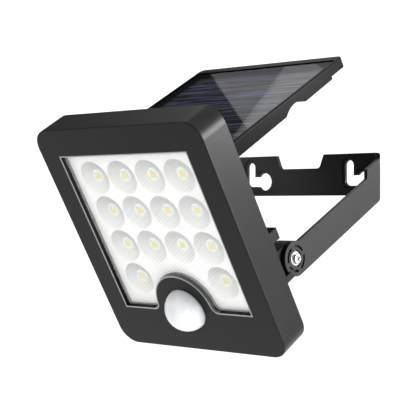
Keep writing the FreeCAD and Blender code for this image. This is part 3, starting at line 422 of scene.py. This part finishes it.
cup_finish, tree, shader = material("cup_metallised_satin_painted_shade", IOR=1.5, Metallic=0.25)
place = node(tree, "ShaderNodeTexCoord")
cloud = node(tree, "ShaderNodeTexNoise", None, Vector=place.outputs["Object"],
             Scale=1 / (3 * MM), Detail=3.0)
tone = node(tree, "ShaderNodeAttribute", {"attribute_name": "cup_wall_painted_shade"})
mix = node(tree, "ShaderNodeMix", {"data_type": "RGBA"}, Factor=tone.outputs["Fac"],
           i6=linear("#f4f4f2"), i7=linear("#929392"))
gloss = node(tree, "ShaderNodeMapRange", None, Value=cloud.outputs["Fac"], To_Min=0.28, To_Max=0.45)
tree.links.new(mix.outputs[2], shader.inputs["Base Color"])
tree.links.new(gloss.outputs["Result"], shader.inputs["Roughness"])
add_mesh("reflector_cups", bm, "head", (), cup_finish, 60)


# LEDs: white ceramic packages, each with a square well of yellow phosphor, soldered to the white board.
# The phosphor is a matt resin with fine grains; unlit, it is a pale yellow.
CHIP_HALF = 2.5 * MM
WELL_HALF = 2.25 * MM
CHIP_FRONT = -31.2 * MM
CHIP_BACK = -30.4 * MM
CHIP_EDGE = 0.15 * MM
WELL_SINK = 0.15 * MM
bm = bmesh.new()
for chip_x, chip_z in led_places:
    rings = []
    for half, depth in ((CHIP_HALF, CHIP_BACK), (CHIP_HALF, CHIP_FRONT + CHIP_EDGE),
                        (CHIP_HALF - CHIP_EDGE, CHIP_FRONT), (WELL_HALF, CHIP_FRONT),
                        (WELL_HALF - 0.1 * MM, CHIP_FRONT + WELL_SINK)):
        rings.append([bm.verts.new(HEAD @ Vector((chip_x + half * a, depth, chip_z + half * b)))
                      for a, b in ((1, 1), (-1, 1), (-1, -1), (1, -1))])
    for first, second in zip(rings, rings[1:]):
        for side in range(4):
            after = (side + 1) % 4
            bm.faces.new((first[side], second[side], second[after], first[after]))
    bm.faces.new(rings[0])
    bm.faces.new(rings[-1]).material_index = 1
package = satin_white("white_ceramic_fired", "#f3f1ea", "#e8e6de", 0.4, 1 * MM)
phosphor, tree, shader = material("phosphor_resin_yellow", IOR=1.5, Roughness=0.6)
place = node(tree, "ShaderNodeTexCoord")
grains = node(tree, "ShaderNodeTexNoise", None, Vector=place.outputs["Object"],
              Scale=1 / (0.5 * MM), Detail=2.0)
mix = node(tree, "ShaderNodeMix", {"data_type": "RGBA"}, Factor=grains.outputs["Fac"],
           i6=linear("#d2c014"), i7=linear("#efe345"))
relief = node(tree, "ShaderNodeBump", None, Height=grains.outputs["Fac"], Strength=0.3, Distance=0.05 * MM)
tree.links.new(mix.outputs[2], shader.inputs["Base Color"])
tree.links.new(relief.outputs["Normal"], shader.inputs["Normal"])
chips = add_mesh("led_packages", bm, "head", ("led_chips",), package, 20)
chips.data.materials.append(phosphor)
dress(["led_board"], satin_white("solder_mask_white_screened", "#f4f5f2", "#eceee9", 0.35, 2 * MM))


# Motion sensor dome: milky polyethylene, pressed with rings of small flat lenses.
# Each lens is a facet, and light passes a little way into the plastic, so the facets are only just visible.
DOME_R = 14.2 * MM
DOME_TIP = -50.6 * MM
DOME_FOOT = -38.9 * MM
DOME_FLANGE_Y = -35.8 * MM
FLANGE_R = 17.5 * MM
FLANGE_BACK = -34.6 * MM
SENSOR_Z = -15.5 * MM
LENS_RINGS = ((0.16, 6), (0.36, 10), (0.55, 14), (0.74, 16), (0.92, 18))
FACET_SINK = 0.16 * MM
dome_h = DOME_FOOT - DOME_TIP
ball = (DOME_R ** 2 + dome_h ** 2) / (2 * dome_h)
ball_y = DOME_TIP + ball
dome_turn = math.acos((ball - dome_h) / ball)


def dome_point(part, angle, sink):
    """A point on the dome: part runs from the tip, 0, to the foot, 1."""
    turn = dome_turn * part
    across = (ball - sink) * math.sin(turn)
    return HEAD @ Vector((across * math.cos(angle), ball_y - (ball - sink) * math.cos(turn),
                          SENSOR_Z + across * math.sin(angle)))


bm = bmesh.new()
DOME_SIDES = 144
DOME_STEPS = 40
rows = []
for step in range(DOME_STEPS + 1):
    part = step / DOME_STEPS
    row = []
    for side in range(DOME_SIDES if step else 1):
        angle = 2 * math.pi * side / DOME_SIDES
        inner = 0.0
        sink = 0.0
        for outer, count in LENS_RINGS:
            if inner <= part < outer:
                width = (part - inner) / (outer - inner)
                share = (angle * count / (2 * math.pi)) % 1.0
                edge = min(width, 1 - width) if inner else 1 - width
                sink = FACET_SINK * (1 - min(1.0, 6 * min(edge, share, 1 - share)))
            inner = outer
        row.append(bm.verts.new(dome_point(part, angle, sink)))
    rows.append(row)
for row_index in range(1, DOME_STEPS):
    first = rows[row_index]
    second = rows[row_index + 1]
    for side in range(DOME_SIDES):
        after = (side + 1) % DOME_SIDES
        bm.faces.new((first[side], second[side], second[after], first[after]))
for side in range(DOME_SIDES):
    bm.faces.new((rows[0][0], rows[1][side], rows[1][(side + 1) % DOME_SIDES]))
skirt = [rows[-1]]
for radius, depth in ((DOME_R, DOME_FLANGE_Y), (FLANGE_R, DOME_FLANGE_Y), (FLANGE_R, FLANGE_BACK)):
    row = []
    for side in range(DOME_SIDES):
        angle = 2 * math.pi * side / DOME_SIDES
        across = radius * math.cos(angle)
        rise = SENSOR_Z + radius * math.sin(angle)
        row.append(bm.verts.new(HEAD @ Vector((across, depth, rise))))
    skirt.append(row)
for first, second in zip(skirt, skirt[1:]):
    for side in range(DOME_SIDES):
        after = (side + 1) % DOME_SIDES
        bm.faces.new((first[side], second[side], second[after], first[after]))
dome_finish, tree, shader = material("milky_polyethylene_pressed", IOR=1.52, Subsurface_Weight=0.35,
                                     Subsurface_Scale=1.5 * MM)
place = node(tree, "ShaderNodeTexCoord")
cloud = node(tree, "ShaderNodeTexNoise", None, Vector=place.outputs["Object"],
             Scale=1 / (3.5 * MM), Detail=2.0)
mix = node(tree, "ShaderNodeMix", {"data_type": "RGBA"}, Factor=cloud.outputs["Fac"],
           i6=linear("#b0b3b6"), i7=linear("#c3c5c7"))
gloss = node(tree, "ShaderNodeMapRange", None, Value=cloud.outputs["Fac"], To_Min=0.25, To_Max=0.4)
tree.links.new(mix.outputs[2], shader.inputs["Base Color"])
tree.links.new(gloss.outputs["Result"], shader.inputs["Roughness"])
add_mesh("sensor_dome_lens", bm, "head", ("sensor_dome",), dome_finish, 60)


# Seals and grommets: black silicone rubber, moulded and left matt, with a faint dusty bloom.
rubber = grained_plastic("silicone_rubber_moulded", "#1c1c1c", "#141414", 0.6, 0.04 * MM, IOR=1.42)
dress(["housing_gasket", "lens_gasket", "dome_seal", "head_grommet", "panel_grommet",
       "friction_washers"], rubber)


# Bracket: a steel strap, bent and punched, then powder coated in dark grey.
# The baked powder flows into a slight orange peel, which breaks its soft gloss.
ORANGE_PEEL = 1.1 * MM
POWDER_EDGE = 0.35 * MM
powder, tree, shader = material("powder_coat_dark_grey", IOR=1.5, Specular_IOR_Level=0.17)
place = node(tree, "ShaderNodeTexCoord")
peel = node(tree, "ShaderNodeTexNoise", None, Vector=place.outputs["Object"],
            Scale=1 / ORANGE_PEEL, Detail=1.0)
cloud = node(tree, "ShaderNodeTexNoise", None, Vector=place.outputs["Object"],
             Scale=1 / (20 * MM), Detail=3.0)
mix = node(tree, "ShaderNodeMix", {"data_type": "RGBA"}, Factor=cloud.outputs["Fac"],
           i6=linear("#0e0e0e"), i7=linear("#131313"))
gloss = node(tree, "ShaderNodeMapRange", None, Value=peel.outputs["Fac"], To_Min=0.34, To_Max=0.44)
relief = node(tree, "ShaderNodeBump", None, Height=peel.outputs["Fac"], Strength=0.15, Distance=0.03 * MM)
tree.links.new(mix.outputs[2], shader.inputs["Base Color"])
tree.links.new(gloss.outputs["Result"], shader.inputs["Roughness"])
tree.links.new(relief.outputs["Normal"], shader.inputs["Normal"])
dress(["wall_bracket"], powder, POWDER_EDGE)


# Screws, washers, nuts, hinge pins and battery tabs: zinc or nickel plated steel.
# Turned and pressed parts keep fine tool marks, which spread their highlights.
TOOL_MARKS = 0.4 * MM
TURNED_EDGE = 0.15 * MM


def plated_steel(name, bright, dull, roughness):
    made, tree, shader = material(name, Metallic=1.0)
    place = node(tree, "ShaderNodeTexCoord")
    marks = node(tree, "ShaderNodeTexNoise", None, Vector=place.outputs["Object"], Scale=1 / TOOL_MARKS,
                 Detail=3.0)
    mix = node(tree, "ShaderNodeMix", {"data_type": "RGBA"}, Factor=marks.outputs["Fac"],
               i6=linear(dull), i7=linear(bright))
    gloss = node(tree, "ShaderNodeMapRange", None, Value=marks.outputs["Fac"],
                 To_Min=roughness - 0.08, To_Max=roughness + 0.08)
    tree.links.new(mix.outputs[2], shader.inputs["Base Color"])
    tree.links.new(gloss.outputs["Result"], shader.inputs["Roughness"])
    return made


dress(["pivot_screws", "pivot_washers"],
      plated_steel("nickel_plated_steel_turned", "#a2a3a3", "#868788", 0.36), TURNED_EDGE)
dress(["pivot_nuts", "hinge_pins", "battery_tabs"],
      plated_steel("zinc_plated_steel", "#c9cbcd", "#a9abae", 0.32))
dress(["board_screws", "cover_screws", "panel_screws"],
      plated_steel("black_zinc_steel", "#4c4d50", "#38393c", 0.35))


# Solar panel: four strips of dark blue silicon on a dark sheet, joined by tinned ribbons, under clear glass.
# The sliced wafer keeps fine lines along its length; their grey-blue glint is a painted highlight in the
# colour.
STREAK_LENGTH = 70.0 * MM
STREAK_WIDTH = 1.0 * MM
silicon, tree, shader = material("silicon_wafer_sliced", IOR=1.5, Roughness=0.5,
                                Specular_IOR_Level=0.05)
place = node(tree, "ShaderNodeTexCoord")
drawn = node(tree, "ShaderNodeMapping", None, Vector=place.outputs["Object"],
             Scale=(1 / STREAK_LENGTH, 1 / STREAK_WIDTH, 1 / STREAK_WIDTH))
fine = node(tree, "ShaderNodeTexNoise", None, Vector=drawn.outputs["Vector"], Scale=1.0, Detail=3.0,
            Roughness=0.7)
# Painted highlight: the wafer's fine lines are coloured pale grey-blue as their glint.
line = node(tree, "ShaderNodeMapRange", None, Value=fine.outputs["Fac"], From_Min=0.5, From_Max=0.56)
mix = node(tree, "ShaderNodeMix", {"data_type": "RGBA"}, Factor=line.outputs["Result"],
           i6=linear("#0a0c1a"), i7=linear("#7f86ac"))
tree.links.new(mix.outputs[2], shader.inputs["Base Color"])
dress(["solar_cells"], silicon)
dress(["cell_ribbons"], plated_steel("tinned_copper_ribbon", "#3c3e46", "#2c2e36", 0.45))
dress(["backing_sheet"],
      grained_plastic("backing_sheet_black_laminate", "#0e0f16", "#0a0b10", 0.5, 0.02 * MM))

glass, tree, shader = material("cover_glass_tempered", IOR=1.5, Alpha=0.3)
place = node(tree, "ShaderNodeTexCoord")
film = node(tree, "ShaderNodeTexNoise", None, Vector=place.outputs["Object"],
            Scale=1 / (25 * MM), Detail=4.0)
gloss = node(tree, "ShaderNodeMapRange", None, Value=film.outputs["Fac"], To_Min=0.0, To_Max=0.01)
tree.links.new(gloss.outputs["Result"], shader.inputs["Roughness"])
shader.inputs["Base Color"].default_value = linear("#05060a")
dress(["panel_glass"], glass)


# Electronics: circuit boards in green solder mask, moulded black parts, a lithium cell in shrink wrap.
# They are hidden in the closed lamp, and are seen only when it is taken apart.
circuit = grained_plastic("solder_mask_green", "#1f5b33", "#17482a", 0.32, 0.02 * MM, IOR=1.5)
dress(["control_board", "sensor_board"], circuit)
dress(["board_parts", "mode_switch"],
      grained_plastic("epoxy_black_moulded", "#1f1f20", "#171718", 0.45, 0.03 * MM))
dress(["battery_cell"], grained_plastic("shrink_wrap_blue", "#2a5a8c", "#234d78", 0.3, 0.01 * MM, IOR=1.5))
dress(["motion_sensor"], plated_steel("nickel_plated_can_drawn", "#d9d9d6", "#bfbfbb", 0.25))


# Mode button: soft grey silicone rubber, moulded, with a dished top.
dress(["mode_button"],
      grained_plastic("silicone_rubber_grey", "#5a5c5d", "#4f5152", 0.55, 0.03 * MM, IOR=1.42))
